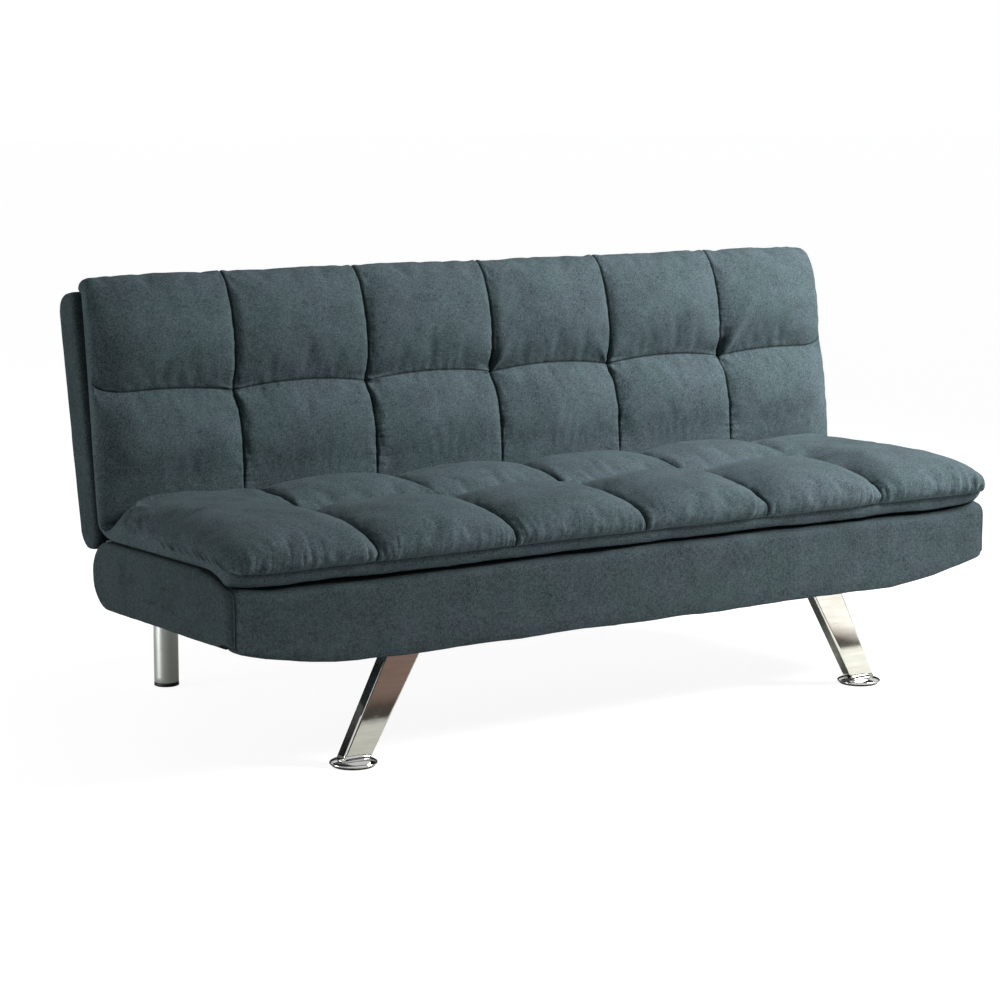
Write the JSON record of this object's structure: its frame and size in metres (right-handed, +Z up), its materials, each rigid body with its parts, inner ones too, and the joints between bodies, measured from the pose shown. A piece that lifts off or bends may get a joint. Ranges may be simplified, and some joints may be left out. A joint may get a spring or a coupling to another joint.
{
  "type": "click-clack sofa bed",
  "caption": "Armless upholstered sofa bed with a tufted topper over a seat box and a back that reclines flat, on splayed bar front legs and a tubular rear leg frame.",
  "frame": {"origin": "on the floor at the middle of the footprint, below the front feet's and rear leg frame's midpoint", "axes": "+X along the length, to the right seen from the front; +Y from the front towards the back; +Z up"},
  "size_m": [1.792, 0.8974, 0.8633],
  "materials": {
    "pad_fabric": "matte",
    "cover_fabric": "matte",
    "lining": "matte",
    "foam": "matte",
    "webbing": "matte",
    "timber": "satin",
    "chrome": "polished",
    "silver_paint": "satin",
    "zinc_steel": "satin",
    "spring_steel": "satin",
    "black_plastic": "satin",
    "rubber": "matte"
  },
  "bodies": {
    "seat": {"bed_rest_cap_left": "rubber", "bed_rest_cap_right": "rubber", "front_foot_disc_left": "chrome", "front_foot_disc_right": "chrome", "front_foot_glide_left": "black_plastic", "front_foot_glide_right": "black_plastic", "front_leg_left": "chrome", "front_leg_plate_left": "zinc_steel", "front_leg_plate_right": "zinc_steel", "front_leg_right": "chrome", "hinge_bolt_left": "zinc_steel", "hinge_bolt_right": "zinc_steel", "hinge_seat_plate_left": "zinc_steel", "hinge_seat_plate_right": "zinc_steel", "pawl_pin_left": "zinc_steel", "pawl_pin_right": "zinc_steel", "rear_arm_left": "silver_paint", "rear_arm_right": "silver_paint", "rear_crossbar": "silver_paint", "rear_leg_cap_left": "black_plastic", "rear_leg_cap_right": "black_plastic", "rear_leg_left": "silver_paint", "rear_leg_right": "silver_paint", "seat_centre_rail": "timber", "seat_cover": "cover_fabric", "seat_dust_cover": "lining", "seat_foam": "foam", "seat_front_panel": "cover_fabric", "seat_front_rail": "timber", "seat_left_rail": "timber", "seat_leg_rail": "timber", "seat_pad": "pad_fabric", "seat_rear_rail": "timber", "seat_right_rail": "timber", "seat_spring_1": "spring_steel", "seat_spring_2": "spring_steel", "seat_spring_3": "spring_steel", "seat_spring_4": "spring_steel"},
    "backrest": {"back_bottom_rail": "timber", "back_centre_rail": "timber", "back_cover": "cover_fabric", "back_foam": "foam", "back_left_rail": "timber", "back_pad": "pad_fabric", "back_rear_panel": "lining", "back_right_rail": "timber", "back_top_rail": "timber", "back_webbing_1": "webbing", "back_webbing_2": "webbing", "back_webbing_3": "webbing", "back_webbing_4": "webbing", "hinge_back_plate_left": "zinc_steel", "hinge_back_plate_right": "zinc_steel"},
    "left_pawl": {"pawl_left": "zinc_steel"},
    "right_pawl": {"pawl_right": "zinc_steel"}
  },
  "joints": [
    {"name": "back_recline", "type": "hinge", "parent": "seat", "child": "backrest", "pos_m": [0, 0.0943, 0.347], "axis": [-1, 0, 0], "range_deg": [-8, 80]},
    {"name": "left_pawl_swing", "type": "hinge", "parent": "seat", "child": "left_pawl", "pos_m": [-0.853, 0.02962, 0.3301], "axis": [1, 0, 0], "range_deg": [0, 12]},
    {"name": "right_pawl_swing", "type": "hinge", "parent": "seat", "child": "right_pawl", "pos_m": [0.853, 0.02962, 0.3301], "axis": [1, 0, 0], "range_deg": [0, 12]}
  ]
}
